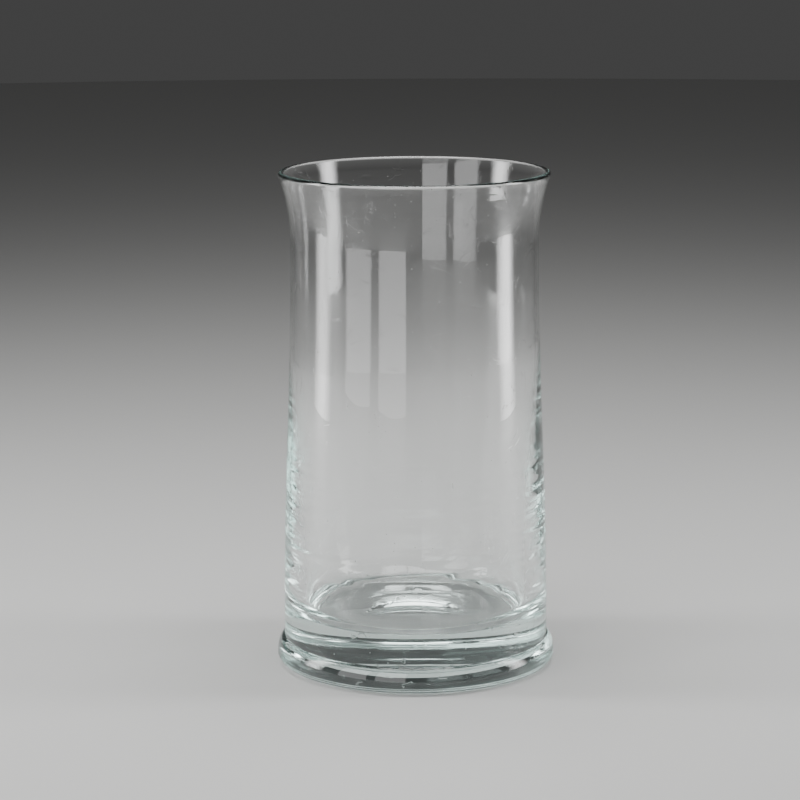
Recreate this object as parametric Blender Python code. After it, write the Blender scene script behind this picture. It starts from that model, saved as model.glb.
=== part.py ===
"""Flared clear-glass cylinder vase: a blown bowl standing on a heavy applied foot.

Units are metres, +Z is up, and the origin is the middle of the ring the vase stands on.
Both pieces are turned shapes. Each outline is worked out below as (radius, height) points
and then revolved about Z by a Screw modifier.
"""

import math

import bpy

# Overall sizes
HEIGHT = 0.200
RIM_RADIUS = 0.0541
WAIST_RADIUS = 0.04965
BODY_RADIUS = 0.05355
FOOT_RADIUS = 0.0565
FOOT_HEIGHT = 0.0110

# Heights at which the outside changes
WAIST_HEIGHT = 0.172
TAPER_START = 0.015

# Wall, lip and floor of the bowl
LIP_THICKNESS = 0.0022
WALL_THIN = 0.0021
THICKENING = 0.0066
THICKENING_TOP = 0.130
THICKENING_BOTTOM = 0.020
FLOOR_HEIGHT = 0.0212
CORNER_WIDTH = 0.0068
CORNER_RISE = 0.0088
FLOOR_DISH = 0.0005

# Foot
SHOULDER_RADIUS = 0.0530
WIDEST_HEIGHT = 0.0035
EDGE_ROUND = 0.0045
HOLLOW_RADIUS = 0.024
HOLLOW_DEPTH = 0.0012

# The two pieces are fused hot in the real vase; here a hairline keeps them apart.
JOINT_GAP = 0.0003

# Facets
SEGMENTS = 64
MERGE_DISTANCE = 0.00005

GLASS_TINT = (0.90, 0.97, 0.95, 1.0)
GLASS_ROUGHNESS = 0.02
GLASS_IOR = 1.52


def clear_scene():
    for thing in list(bpy.data.objects):
        bpy.data.objects.remove(thing, do_unlink=True)


def steps(start, stop, count):
    """Evenly spaced values from start to stop, both included."""
    return [start + (stop - start) * i / (count - 1) for i in range(count)]


def flare_angle():
    """Lean of the wall at the lip, from the rise and spread of the flare above the waist."""
    rise = HEIGHT - WAIST_HEIGHT - LIP_THICKNESS / 2
    return 2 * math.atan((RIM_RADIUS - WAIST_RADIUS) / rise)


def flare_radius():
    """Radius of the arc that the outside of the flare follows."""
    rise = HEIGHT - WAIST_HEIGHT - LIP_THICKNESS / 2
    return rise / math.sin(flare_angle()) - LIP_THICKNESS / 2


def outer_radius(z):
    """Outside of the bowl: an eased taper up to the waist, then the flare's arc."""
    if z > WAIST_HEIGHT:
        arc = flare_radius()
        return WAIST_RADIUS + arc - math.sqrt(arc ** 2 - (z - WAIST_HEIGHT) ** 2)
    t = max(0.0, (z - TAPER_START) / (WAIST_HEIGHT - TAPER_START))
    return BODY_RADIUS + (WAIST_RADIUS - BODY_RADIUS) * (1 - math.cos(math.pi * t)) / 2


def smooth_step(t):
    """Eases from 0 to 1 as t goes from 0 to 1."""
    t = min(1.0, max(0.0, t))
    return t * t * (3 - 2 * t)


def wall_thickness(z):
    """Thin and even at the top, thickening smoothly towards the floor."""
    thickening = smooth_step((THICKENING_TOP - z) / (THICKENING_TOP - THICKENING_BOTTOM))
    return WALL_THIN + THICKENING * thickening


def inner_radius(z):
    return outer_radius(z) - wall_thickness(z)


def dished(radius, rim_radius, depth):
    """Height of a shallow round dish above its middle, at the given radius."""
    return depth * (radius / rim_radius) ** 2


def arc_points(centre, radii, start_deg, stop_deg, count):
    """Points on an elliptical arc in the (radius, height) plane."""
    points = []
    for angle in steps(math.radians(start_deg), math.radians(stop_deg), count):
        points.append((centre[0] + radii[0] * math.cos(angle), centre[1] + radii[1] * math.sin(angle)))
    return points


def bowl_outline():
    """From the middle of the inside floor, up the inside, over the lip and down the outside."""
    underside = FOOT_HEIGHT + JOINT_GAP / 2
    corner_top = FLOOR_HEIGHT + CORNER_RISE
    corner_centre = (inner_radius(corner_top) - CORNER_WIDTH, corner_top)
    floor_middle = FLOOR_HEIGHT - FLOOR_DISH
    outline = [(r, floor_middle + dished(r, corner_centre[0], FLOOR_DISH))
               for r in steps(0.0, corner_centre[0], 3)[:-1]]
    outline += arc_points(corner_centre, (CORNER_WIDTH, CORNER_RISE), -90, -15, 6)

    lean = flare_angle()
    lip = LIP_THICKNESS / 2
    lip_centre = (RIM_RADIUS - lip, HEIGHT - lip)
    lip_start = lip_centre[1] - lip * math.sin(lean)
    for z in steps(corner_top, THICKENING_TOP, 8):
        outline.append((inner_radius(z), z))
    for z in steps(WAIST_HEIGHT, lip_start - 3 * lip, 4):
        outline.append((inner_radius(z), z))
    lean_deg = math.degrees(lean)
    outline += arc_points(lip_centre, (lip, lip), 180 - lean_deg, 90, 4)
    outline += arc_points(lip_centre, (lip, lip), 90, -lean_deg, 5)[1:]

    for z in steps(lip_start - 3 * lip, WAIST_HEIGHT, 4):
        outline.append((outer_radius(z), z))
    for z in steps(WAIST_HEIGHT, TAPER_START, 9)[1:]:
        outline.append((outer_radius(z), z))
    outline.append((BODY_RADIUS, underside))
    outline.append((0.0, underside))
    return outline


def foot_outline():
    """From the middle of the top face, out over the shoulder and round under to the hollow."""
    top = FOOT_HEIGHT - JOINT_GAP / 2
    shoulder = (FOOT_RADIUS - SHOULDER_RADIUS, top - WIDEST_HEIGHT)
    outline = [(0.0, top)]
    outline += arc_points((SHOULDER_RADIUS, WIDEST_HEIGHT), shoulder, 90, 0, 7)
    edge_centre = (FOOT_RADIUS - EDGE_ROUND, WIDEST_HEIGHT)
    outline += arc_points(edge_centre, (EDGE_ROUND, WIDEST_HEIGHT), 0, -90, 6)[1:]
    for r in steps(HOLLOW_RADIUS, 0.0, 4):
        outline.append((r, HOLLOW_DEPTH - dished(r, HOLLOW_RADIUS, HOLLOW_DEPTH)))
    return outline


def glass_material(name):
    material = bpy.data.materials.new(name)
    material.use_nodes = True
    shader = material.node_tree.nodes["Principled BSDF"]
    shader.inputs["Base Color"].default_value = GLASS_TINT
    shader.inputs["Metallic"].default_value = 0.0
    shader.inputs["Roughness"].default_value = GLASS_ROUGHNESS
    shader.inputs["IOR"].default_value = GLASS_IOR
    shader.inputs["Transmission Weight"].default_value = 1.0
    material.diffuse_color = GLASS_TINT
    return material


def turned_piece(name, outline):
    """A glass piece of the given outline, revolved about Z."""
    points = [(radius, 0.0, height) for radius, height in outline]
    edges = [(i, i + 1) for i in range(len(points) - 1)]
    mesh = bpy.data.meshes.new(name)
    mesh.from_pydata(points, edges, [])
    mesh.materials.append(glass_material(name + "_glass"))
    piece = bpy.data.objects.new(name, mesh)
    bpy.context.scene.collection.objects.link(piece)

    screw = piece.modifiers.new("turn", "SCREW")
    screw.axis = "Z"
    screw.angle = 2 * math.pi
    screw.steps = SEGMENTS
    screw.render_steps = SEGMENTS
    screw.use_merge_vertices = True
    screw.merge_threshold = MERGE_DISTANCE
    screw.use_smooth_shade = True
    return piece


def main():
    clear_scene()
    turned_piece("bowl", bowl_outline())
    turned_piece("foot", foot_outline())


main()
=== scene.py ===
"""Looks for the glass cylinder vase: a fine turned mesh and clear glass for each CAD piece.

Metres, +Z up, the CAD model's own frame. The outlines repeat the CAD's dimensions, and the
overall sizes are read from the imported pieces.
"""

import math

import bmesh
import bpy
from mathutils import Euler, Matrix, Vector, noise


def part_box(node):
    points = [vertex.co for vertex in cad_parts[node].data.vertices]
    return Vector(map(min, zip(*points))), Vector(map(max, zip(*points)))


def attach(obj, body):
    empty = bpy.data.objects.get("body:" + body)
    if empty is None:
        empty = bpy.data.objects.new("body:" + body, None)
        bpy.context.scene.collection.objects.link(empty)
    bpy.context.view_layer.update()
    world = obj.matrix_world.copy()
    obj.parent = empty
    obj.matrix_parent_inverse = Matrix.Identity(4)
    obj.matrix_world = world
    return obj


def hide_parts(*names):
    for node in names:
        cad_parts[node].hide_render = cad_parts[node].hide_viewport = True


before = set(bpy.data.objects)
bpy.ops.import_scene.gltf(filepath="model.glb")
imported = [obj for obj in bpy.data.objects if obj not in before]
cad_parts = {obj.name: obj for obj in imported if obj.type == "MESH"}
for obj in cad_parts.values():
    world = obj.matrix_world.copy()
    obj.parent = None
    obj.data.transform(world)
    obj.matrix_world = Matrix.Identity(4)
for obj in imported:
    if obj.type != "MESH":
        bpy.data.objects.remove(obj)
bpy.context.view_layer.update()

BOWL_LOW, BOWL_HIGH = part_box("bowl")
FOOT_LOW, FOOT_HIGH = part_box("foot")

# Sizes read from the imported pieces
HEIGHT = BOWL_HIGH.z
RIM_RADIUS = BOWL_HIGH.x
FOOT_RADIUS = FOOT_HIGH.x
JOINT_HEIGHT = (BOWL_LOW.z + FOOT_HIGH.z) / 2

# Outline of the bowl, as in the CAD model
WAIST_RADIUS = 0.04965
BODY_RADIUS = 0.05355
WAIST_HEIGHT = 0.172
TAPER_START = 0.015
LIP_THICKNESS = 0.0022
WALL_THIN = 0.0021
THICKENING = 0.0066
THICKENING_TOP = 0.130
THICKENING_BOTTOM = 0.020
FLOOR_HEIGHT = 0.0212
CORNER_WIDTH = 0.0068
CORNER_RISE = 0.0088
FLOOR_DISH = 0.0005

# Outline of the foot
SHOULDER_RADIUS = 0.0530
WIDEST_HEIGHT = 0.0035
EDGE_ROUND = 0.0045
HOLLOW_RADIUS = 0.024
HOLLOW_DEPTH = 0.0012

# The fused joint: the two glass pieces come this close, and the faces between them don't bend light
JOINT_GAP = 0.00002
JOINT_ATTRIBUTE = "fused_joint"

# Hand-finished glass is a little uneven: the inside thickens higher up on one side, and the foot's
# edge and the lower part of the inside are slightly wavy. The waves grow from nothing at WAVY_BELOW
# to their full depth at WAVY_FROM, and fade from CALM_FROM to nothing at CALM_BELOW, by the floor.
THICKENING_TILT = 0.004
WAVE_DEPTH = 0.00008
WAVE_WIDTH = 0.050
WAVE_HEIGHT = 0.0030
WAVY_BELOW = 0.104
WAVY_FROM = 0.075
CALM_BELOW = 0.032
CALM_FROM = 0.048
FOOT_WAVE_DEPTH = 0.00003

# Facets: round the axis, and up the inside and the outside of the wall
SEGMENTS = 256
INNER_LEVELS = 240
OUTER_LEVELS = 90
SHARP_ANGLE = math.radians(40)
TINY = 1e-7

# Surface of the glass. A pair of numbers says where a noise, which runs from 0 to 1, starts to show
# and where it shows in full.
SMUDGE_ROUGHNESS = 0.03
SMUDGE_WIDTH = 0.030
SMUDGE_STREAK = 0.002
SMUDGE_COVER = (0.60, 0.75)
STREAK_COVER = (0.35, 0.75)

DUST_ROUGHNESS = 0.5
DUST_SPACING = 0.0035
DUST_SIZE = 0.00028
DUST_DEPTH = 0.00004
DUST_CELLS_EMPTY = 0.6

SCRATCH_SPACING = 0.012
SCRATCH_WIDTH = 0.00014
SCRATCH_DEPTH = 0.00002
SCRATCH_COVER = (0.55, 0.62)

WORN_ROUGHNESS = 0.12
WORN_BELOW = 0.0004
WORN_RADIUS = 0.0500
WORN_WIDTH = 0.0020
WORN_ARC_LENGTH = 0.012
WORN_ARC_SPACING = 0.0002
WORN_COVER = (0.5, 0.65)

FLOW_WIDTH = 0.030
FLOW_DEPTH = 0.00001

GLASS_IOR = 1.52
ABSORPTION_COLOUR = (0.25, 0.80, 0.70, 1.0)
ABSORPTION_DENSITY = 2.5

# Camera
CAMERA_DISTANCE = 1.095
CAMERA_HEIGHT = 0.3226
CAMERA_PITCH = math.radians(11.13)
CAMERA_YAW = math.radians(0.316)
CAMERA_ROLL = math.radians(-0.226)
SENSOR_WIDTH = 36.0
FOCAL_LENGTH = 124.56
BOUNCES = 32

# Studio
FLOOR_RADIUS = 3.0
FLOOR_DROP = 0.0002
FLOOR_COLOUR = (0.66, 0.66, 0.65, 1.0)
FLOOR_ROUGHNESS = 0.5
WORLD_COLOUR = (0.06, 0.06, 0.06, 1.0)

# Each softbox: its bearing from the vase (degrees, 0 towards the camera, positive to the camera's
# right), its distance, the heights of its lower and upper edge, its width, its radiance, and the
# part of its width over which it fades at each side
SOFTBOXES = {
    "left_low_strip": (-90, 0.75, 0.0, 0.25, 0.33, 14.0, 0.45),
    "left_high_strip": (-90, 0.75, 0.25, 0.72, 0.33, 14.0, 0.45),
    "right_strip": (90, 0.75, 0.0, 0.72, 0.33, 14.0, 0.45),
    "left_window_pane": (-52, 0.9, 0.0, 0.70, 0.42, 3.0, 0.08),
    "front_window_pane": (-20, 0.9, 0.0, 0.70, 0.42, 3.0, 0.08),
}
# From the vase's right side this one would be seen through the glass, as a plain white field
REFLECTED_ONLY = "left_low_strip"
TOP_LIGHT_HEIGHT = 0.8
TOP_LIGHT_SIZE = 0.5
TOP_LIGHT_RADIANCE = 6.5


def steps(start, stop, count):
    """Evenly spaced values from start to stop, both included."""
    return [start + (stop - start) * i / (count - 1) for i in range(count)]


def flare_angle():
    """Lean of the wall at the lip, from the rise and spread of the flare above the waist."""
    rise = HEIGHT - WAIST_HEIGHT - LIP_THICKNESS / 2
    return 2 * math.atan((RIM_RADIUS - WAIST_RADIUS) / rise)


def flare_radius():
    """Radius of the arc that the outside of the flare follows."""
    rise = HEIGHT - WAIST_HEIGHT - LIP_THICKNESS / 2
    return rise / math.sin(flare_angle()) - LIP_THICKNESS / 2


def outer_radius(z):
    """Outside of the bowl: an eased taper up to the waist, then the flare's arc."""
    if z > WAIST_HEIGHT:
        arc = flare_radius()
        return WAIST_RADIUS + arc - math.sqrt(arc ** 2 - (z - WAIST_HEIGHT) ** 2)
    t = max(0.0, (z - TAPER_START) / (WAIST_HEIGHT - TAPER_START))
    return BODY_RADIUS + (WAIST_RADIUS - BODY_RADIUS) * (1 - math.cos(math.pi * t)) / 2


def smooth_step(t):
    """Eases from 0 to 1 as t goes from 0 to 1."""
    t = min(1.0, max(0.0, t))
    return t * t * (3 - 2 * t)


def wave(angle, z, depth):
    """A smooth random height over the turned surface, between about -depth and depth."""
    place = Vector((BODY_RADIUS * math.cos(angle), BODY_RADIUS * math.sin(angle), 0.0)) / WAVE_WIDTH
    place.z = z / WAVE_HEIGHT
    return depth * noise.noise(place)


def wall_thickness(z, angle):
    """Thin and even at the top, thickening smoothly towards the floor."""
    z -= THICKENING_TILT * math.cos(angle)
    thickening = smooth_step((THICKENING_TOP - z) / (THICKENING_TOP - THICKENING_BOTTOM))
    return WALL_THIN + THICKENING * thickening


def inner_radius(z, angle):
    waviness = WAVE_DEPTH * smooth_step((WAVY_BELOW - z) / (WAVY_BELOW - WAVY_FROM))
    waviness *= smooth_step((z - CALM_BELOW) / (CALM_FROM - CALM_BELOW))
    return outer_radius(z) - wall_thickness(z, angle) + wave(angle, z, waviness)


def arc_points(centre, radii, start_deg, stop_deg, count):
    """Points on an elliptical arc in the (radius, height) plane."""
    points = []
    for angle in steps(math.radians(start_deg), math.radians(stop_deg), count):
        points.append((centre[0] + radii[0] * math.cos(angle), centre[1] + radii[1] * math.sin(angle)))
    return points


def dished(radius, rim_radius, depth):
    """Height of a shallow round dish above its middle, at the given radius."""
    return depth * (radius / rim_radius) ** 2


def bowl_outline(angle):
    """From the middle of the inside floor, up the inside, over the lip and down the outside."""
    underside = JOINT_HEIGHT + JOINT_GAP / 2
    corner_top = FLOOR_HEIGHT + CORNER_RISE
    corner_centre = (inner_radius(corner_top, angle) - CORNER_WIDTH, corner_top)
    floor_middle = FLOOR_HEIGHT - FLOOR_DISH
    outline = [(r, floor_middle + dished(r, corner_centre[0], FLOOR_DISH))
               for r in steps(0.0, corner_centre[0], 16)]
    outline += arc_points(corner_centre, (CORNER_WIDTH, CORNER_RISE), -90, -8, 22)[1:]

    lean = flare_angle()
    lip = LIP_THICKNESS / 2
    lip_centre = (RIM_RADIUS - lip, HEIGHT - lip)
    lip_start = lip_centre[1] - lip * math.sin(lean)
    for z in steps(corner_top + CORNER_RISE / 8, lip_start - 3 * lip, INNER_LEVELS):
        outline.append((inner_radius(z, angle), z))
    lean_deg = math.degrees(lean)
    outline += arc_points(lip_centre, (lip, lip), 180 - lean_deg, 90, 8)
    outline += arc_points(lip_centre, (lip, lip), 90, -lean_deg, 11)[1:]
    for z in steps(lip_start - 3 * lip, underside, OUTER_LEVELS):
        outline.append((outer_radius(z), z))
    outline += [(r, underside) for r in steps(BODY_RADIUS, 0.0, 6)[1:]]
    return outline


def foot_outline(angle):
    """From the middle of the joint, out over the shoulder, round the edge and in under the foot."""
    top = JOINT_HEIGHT - JOINT_GAP / 2
    shoulder = (FOOT_RADIUS - SHOULDER_RADIUS, top - WIDEST_HEIGHT)
    outline = [(r, top) for r in steps(0.0, SHOULDER_RADIUS, 6)]
    edge = arc_points((SHOULDER_RADIUS, WIDEST_HEIGHT), shoulder, 90, 0, 24)[1:]
    edge_centre = (FOOT_RADIUS - EDGE_ROUND, WIDEST_HEIGHT)
    edge += arc_points(edge_centre, (EDGE_ROUND, WIDEST_HEIGHT), 0, -90, 14)[1:]
    outline += [(r - FOOT_WAVE_DEPTH + wave(angle, z, FOOT_WAVE_DEPTH), z) for r, z in edge]
    outline += [(r, 0.0) for r in steps(edge_centre[0], HOLLOW_RADIUS, 6)[1:]]
    outline += [(r, HOLLOW_DEPTH - dished(r, HOLLOW_RADIUS, HOLLOW_DEPTH))
                for r in steps(HOLLOW_RADIUS, 0.0, 12)[1:]]
    return outline


def turned(name, outline_at, material, joint_height):
    """A closed mesh of revolution, whose outline may change a little with the angle.

    Faces that lie in the joint's plane are marked for the material.
    """
    bm = bmesh.new()
    joint = bm.faces.layers.float.new(JOINT_ATTRIBUTE)
    angles = [2 * math.pi * k / SEGMENTS for k in range(SEGMENTS)]
    outlines = [outline_at(angle) for angle in angles]
    rings = []
    for level in zip(*outlines):
        if level[0][0] < TINY:
            rings.append([bm.verts.new((0.0, 0.0, level[0][1]))])
            continue
        ring = [(r * math.cos(a), r * math.sin(a), z) for (r, z), a in zip(level, angles)]
        rings.append([bm.verts.new(point) for point in ring])
    for low, high in zip(rings, rings[1:]):
        for k in range(SEGMENTS):
            following = (k + 1) % SEGMENTS
            corners = [low[k % len(low)], low[following % len(low)]]
            corners += [high[following % len(high)], high[k % len(high)]]
            distinct = list(dict.fromkeys(corners))
            face = bm.faces.new(distinct)
            face.smooth = True
            if max(abs(v.co.z - joint_height) for v in distinct) < TINY:
                face[joint] = 1.0
    bmesh.ops.recalc_face_normals(bm, faces=bm.faces)
    mesh = bpy.data.meshes.new(name)
    bm.to_mesh(mesh)
    bm.free()
    mesh.materials.append(material)
    mesh.set_sharp_from_angle(angle=SHARP_ANGLE)
    piece = bpy.data.objects.new(name, mesh)
    bpy.context.scene.collection.objects.link(piece)
    return piece


def math_node(tree, operation, *values):
    """A Math node. Each value is a number or another node's output."""
    node = tree.nodes.new("ShaderNodeMath")
    node.operation = operation
    for socket, value in zip(node.inputs, values):
        if isinstance(value, (int, float)):
            socket.default_value = value
        else:
            tree.links.new(value, socket)
    return node.outputs[0]


def ramp_node(tree, value, low, high):
    """Rises from 0 to 1 as the value goes from low to high. It falls where low is above high."""
    node = tree.nodes.new("ShaderNodeMapRange")
    node.interpolation_type = "SMOOTHSTEP"
    node.inputs["From Min"].default_value = low
    node.inputs["From Max"].default_value = high
    tree.links.new(value, node.inputs["Value"])
    return node.outputs["Result"]


def noise_node(tree, place, width, detail=2.0):
    node = tree.nodes.new("ShaderNodeTexNoise")
    node.inputs["Scale"].default_value = 1.0 / width
    node.inputs["Detail"].default_value = detail
    tree.links.new(place, node.inputs["Vector"])
    return node.outputs["Fac"]


def smudges(tree, place):
    """Patches with fine streaks, as a cloth or a hand leaves them."""
    patch = ramp_node(tree, noise_node(tree, place, SMUDGE_WIDTH, 3.0), *SMUDGE_COVER)
    streak = ramp_node(tree, noise_node(tree, place, SMUDGE_STREAK), *STREAK_COVER)
    return math_node(tree, "MULTIPLY", patch, streak)


def dust(tree, place):
    """Single specks: a small round one in some of the cells."""
    cells = tree.nodes.new("ShaderNodeTexVoronoi")
    cells.inputs["Scale"].default_value = 1.0 / DUST_SPACING
    tree.links.new(place, cells.inputs["Vector"])
    reach = DUST_SIZE / DUST_SPACING
    speck = ramp_node(tree, cells.outputs["Distance"], reach, reach / 2)
    chosen = tree.nodes.new("ShaderNodeSeparateColor")
    tree.links.new(cells.outputs["Color"], chosen.inputs["Color"])
    shown = math_node(tree, "GREATER_THAN", chosen.outputs["Red"], DUST_CELLS_EMPTY)
    return math_node(tree, "MULTIPLY", speck, shown)


def scratches(tree, place):
    """Hairlines: the thin bands where a smooth noise crosses its mean, broken up by a second one."""
    above_mean = math_node(tree, "SUBTRACT", noise_node(tree, place, SCRATCH_SPACING), 0.5)
    crossing = math_node(tree, "ABSOLUTE", above_mean)
    line = ramp_node(tree, crossing, SCRATCH_WIDTH / SCRATCH_SPACING, 0.0)
    kept = ramp_node(tree, noise_node(tree, place, SCRATCH_SPACING / 2, 0.0), *SCRATCH_COVER)
    return math_node(tree, "MULTIPLY", line, kept)


def worn_ring(tree, place):
    """The narrow ring that the vase rests on, dulled by fine scratches that run round it."""
    axes = tree.nodes.new("ShaderNodeSeparateXYZ")
    tree.links.new(place, axes.inputs["Vector"])
    low = ramp_node(tree, axes.outputs["Z"], WORN_BELOW, WORN_BELOW / 2)
    squares = [math_node(tree, "MULTIPLY", axes.outputs[axis], axes.outputs[axis]) for axis in ("X", "Y")]
    radius = math_node(tree, "SQRT", math_node(tree, "ADD", *squares))
    distance = math_node(tree, "ABSOLUTE", math_node(tree, "SUBTRACT", radius, WORN_RADIUS))
    ring = ramp_node(tree, distance, WORN_WIDTH, 0.0)
    stretched = tree.nodes.new("ShaderNodeCombineXYZ")
    tree.links.new(axes.outputs["X"], stretched.inputs["X"])
    tree.links.new(axes.outputs["Y"], stretched.inputs["Y"])
    across = math_node(tree, "MULTIPLY", radius, WORN_ARC_LENGTH / WORN_ARC_SPACING)
    tree.links.new(across, stretched.inputs["Z"])
    arcs = ramp_node(tree, noise_node(tree, stretched.outputs["Vector"], WORN_ARC_LENGTH), *WORN_COVER)
    return math_node(tree, "MULTIPLY", math_node(tree, "MULTIPLY", low, ring), arcs)


def add_surface(tree, shader):
    """Roughness and bump of used glass, from node textures in the vase's own coordinates."""
    place = tree.nodes.new("ShaderNodeTexCoord").outputs["Object"]
    specks = dust(tree, place)
    lines = scratches(tree, place)
    worn = worn_ring(tree, place)

    roughness = math_node(tree, "MULTIPLY", smudges(tree, place), SMUDGE_ROUGHNESS)
    roughness = math_node(tree, "MAXIMUM", roughness, math_node(tree, "MULTIPLY", specks, DUST_ROUGHNESS))
    roughness = math_node(tree, "MAXIMUM", roughness, math_node(tree, "MULTIPLY", worn, WORN_ROUGHNESS))
    tree.links.new(roughness, shader.inputs["Roughness"])

    flow = math_node(tree, "MULTIPLY", noise_node(tree, place, FLOW_WIDTH, 1.0), FLOW_DEPTH)
    height = math_node(tree, "MULTIPLY_ADD", specks, DUST_DEPTH, flow)
    height = math_node(tree, "MULTIPLY_ADD", lines, -SCRATCH_DEPTH, height)
    bump = tree.nodes.new("ShaderNodeBump")
    bump.inputs["Strength"].default_value = 1.0
    bump.inputs["Distance"].default_value = 1.0
    tree.links.new(height, bump.inputs["Height"])
    tree.links.new(bump.outputs["Normal"], shader.inputs["Normal"])


def glass_material(name):
    """Clear glass: refraction, a faint tint that deepens with thickness, and a used surface."""
    material = bpy.data.materials.new(name)
    material.use_nodes = True
    tree = material.node_tree
    shader = tree.nodes["Principled BSDF"]
    shader.inputs["Base Color"].default_value = (1.0, 1.0, 1.0, 1.0)
    shader.inputs["Transmission Weight"].default_value = 1.0
    add_surface(tree, shader)

    joint = tree.nodes.new("ShaderNodeAttribute")
    joint.attribute_name = JOINT_ATTRIBUTE
    ior = tree.nodes.new("ShaderNodeMapRange")
    ior.inputs["To Min"].default_value = GLASS_IOR
    ior.inputs["To Max"].default_value = 1.0
    tree.links.new(joint.outputs["Fac"], ior.inputs["Value"])
    tree.links.new(ior.outputs["Result"], shader.inputs["IOR"])

    absorption = tree.nodes.new("ShaderNodeVolumeAbsorption")
    absorption.inputs["Color"].default_value = ABSORPTION_COLOUR
    absorption.inputs["Density"].default_value = ABSORPTION_DENSITY
    tree.links.new(absorption.outputs["Volume"], tree.nodes["Material Output"].inputs["Volume"])
    return material


def build_vase():
    bowl_bottom = JOINT_HEIGHT + JOINT_GAP / 2
    bowl = turned("bowl_glass", bowl_outline, glass_material("bowl_clear_glass"), bowl_bottom)
    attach(bowl, "root")
    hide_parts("bowl")
    foot_top = JOINT_HEIGHT - JOINT_GAP / 2
    foot = turned("foot_glass", foot_outline, glass_material("foot_clear_glass"), foot_top)
    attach(foot, "root")
    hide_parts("foot")


def floor_material():
    material = bpy.data.materials.new("pale_floor")
    material.use_nodes = True
    shader = material.node_tree.nodes["Principled BSDF"]
    shader.inputs["Base Color"].default_value = FLOOR_COLOUR
    shader.inputs["Roughness"].default_value = FLOOR_ROUGHNESS
    return material


def build_stage():
    bm = bmesh.new()
    bmesh.ops.create_circle(bm, cap_ends=True, radius=FLOOR_RADIUS, segments=128)
    mesh = bpy.data.meshes.new("floor")
    bm.to_mesh(mesh)
    bm.free()
    mesh.materials.append(floor_material())
    floor = bpy.data.objects.new("floor", mesh)
    floor.location.z = -FLOOR_DROP
    bpy.context.scene.collection.objects.link(floor)

    world = bpy.data.worlds.new("studio")
    world.use_nodes = True
    world.node_tree.nodes["Background"].inputs["Color"].default_value = WORLD_COLOUR
    bpy.context.scene.world = world


def fade_sides(data, part):
    """Lets an area light grow dimmer towards its left and right edge."""
    data.use_nodes = True
    tree = data.node_tree
    across = tree.nodes.new("ShaderNodeSeparateXYZ")
    place = tree.nodes.new("ShaderNodeNewGeometry").outputs["Parametric"]
    tree.links.new(place, across.inputs["Vector"])
    left = ramp_node(tree, across.outputs["X"], 0.0, part)
    right = ramp_node(tree, across.outputs["X"], 1.0, 1.0 - part)
    tree.links.new(math_node(tree, "MULTIPLY", left, right), tree.nodes["Emission"].inputs["Strength"])


def area_light(name, location, target, width, height, radiance):
    data = bpy.data.lights.new(name, "AREA")
    data.shape = "RECTANGLE"
    data.size = width
    data.size_y = height
    data.energy = math.pi * width * height * radiance
    light = bpy.data.objects.new(name, data)
    light.location = location
    direction = Vector(target) - Vector(location)
    light.rotation_euler = direction.to_track_quat("-Z", "Y").to_euler()
    bpy.context.scene.collection.objects.link(light)
    return light


def build_lights():
    for name, values in SOFTBOXES.items():
        bearing_deg, distance, bottom, top, width, radiance, faded_part = values
        bearing = math.radians(bearing_deg)
        middle = (bottom + top) / 2
        place = (distance * math.sin(bearing), -distance * math.cos(bearing), middle)
        light = area_light(name, place, (0.0, 0.0, middle), width, top - bottom, radiance)
        fade_sides(light.data, faded_part)
        light.visible_transmission = name != REFLECTED_ONLY
    overhead = (0.0, 0.0, TOP_LIGHT_HEIGHT)
    area_light("top_softbox", overhead, (0.0, 0.0, 0.0), TOP_LIGHT_SIZE, TOP_LIGHT_SIZE, TOP_LIGHT_RADIANCE)


def build_camera():
    data = bpy.data.cameras.new("camera")
    data.sensor_width = SENSOR_WIDTH
    data.lens = FOCAL_LENGTH
    camera = bpy.data.objects.new("camera", data)
    camera.location = (0.0, -CAMERA_DISTANCE, CAMERA_HEIGHT)
    turn = Euler((math.pi / 2 - CAMERA_PITCH, 0.0, CAMERA_YAW)).to_matrix()
    roll = Euler((0.0, 0.0, CAMERA_ROLL)).to_matrix()
    camera.rotation_euler = (turn @ roll).to_euler()
    bpy.context.scene.collection.objects.link(camera)
    bpy.context.scene.camera = camera


def light_paths():
    """Glass this thick sends light back and forth inside itself many times."""
    cycles = bpy.context.scene.cycles
    cycles.max_bounces = BOUNCES
    cycles.transmission_bounces = BOUNCES
    cycles.glossy_bounces = BOUNCES


build_vase()
build_stage()
build_lights()
build_camera()
light_paths()
